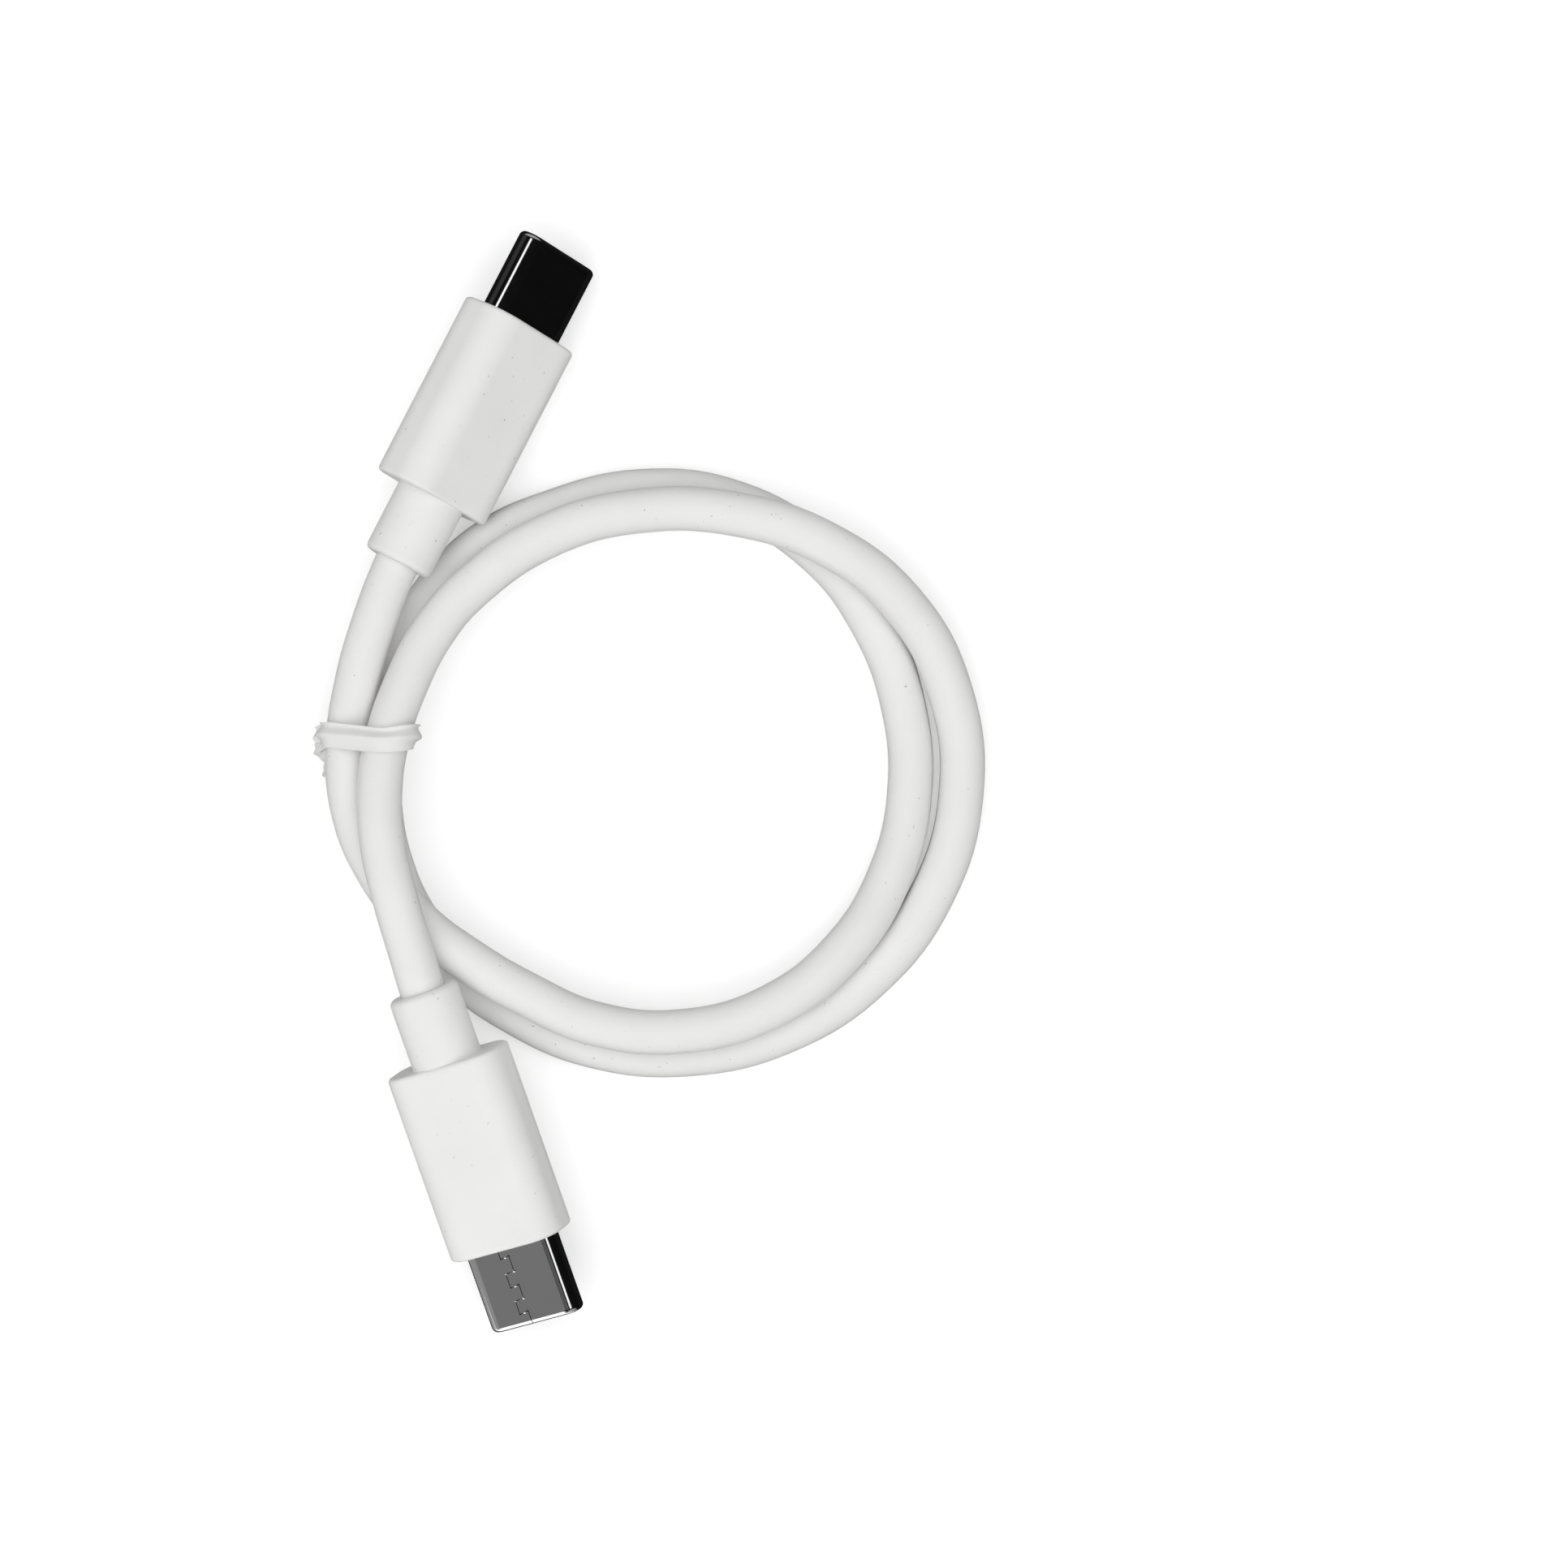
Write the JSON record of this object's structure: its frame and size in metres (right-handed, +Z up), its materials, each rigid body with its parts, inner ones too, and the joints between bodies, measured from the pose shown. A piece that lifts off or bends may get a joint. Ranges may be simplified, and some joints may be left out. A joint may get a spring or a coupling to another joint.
{
  "type": "usb-c cable",
  "caption": "Short white usb-c to usb-c cable, wound in two loose turns and held by a twist tie, with a metal-tipped plug on each end.",
  "frame": {"origin": "middle of the box round the two plugs, seen from above, on the surface that the cable lies on", "axes": "+Z up from the surface, +Y along the long way of the cable from plug b towards plug a, +X towards the coil"},
  "size_m": [0.0544, 0.0897, 0.0115],
  "materials": {
    "cable_jacket": "satin soft plastic",
    "white_moulding": "satin soft plastic",
    "tie_coating": "satin",
    "plug_steel": "polished",
    "spring_steel": "satin",
    "black_plastic": "matt",
    "contact_metal": "gold-plated",
    "green_board": "satin",
    "inner_plastic": "satin",
    "wire_plastic": "satin"
  },
  "bodies": {
    "root": {"cable": "cable_jacket", "twist_tie": "tie_coating", "overmould_a": "white_moulding", "plug_shell_a": "plug_steel", "insulator_a": "black_plastic", "upper_contacts_a": "contact_metal", "lower_contacts_a": "contact_metal", "latch_a": "spring_steel", "ground_springs_a": "spring_steel", "circuit_board_a": "green_board", "inner_mould_a": "inner_plastic", "wire_ends_a": "wire_plastic", "overmould_b": "white_moulding", "plug_shell_b": "plug_steel", "insulator_b": "black_plastic", "upper_contacts_b": "contact_metal", "lower_contacts_b": "contact_metal", "latch_b": "spring_steel", "ground_springs_b": "spring_steel", "circuit_board_b": "green_board", "inner_mould_b": "inner_plastic", "wire_ends_b": "wire_plastic"}
  },
  "joints": []
}
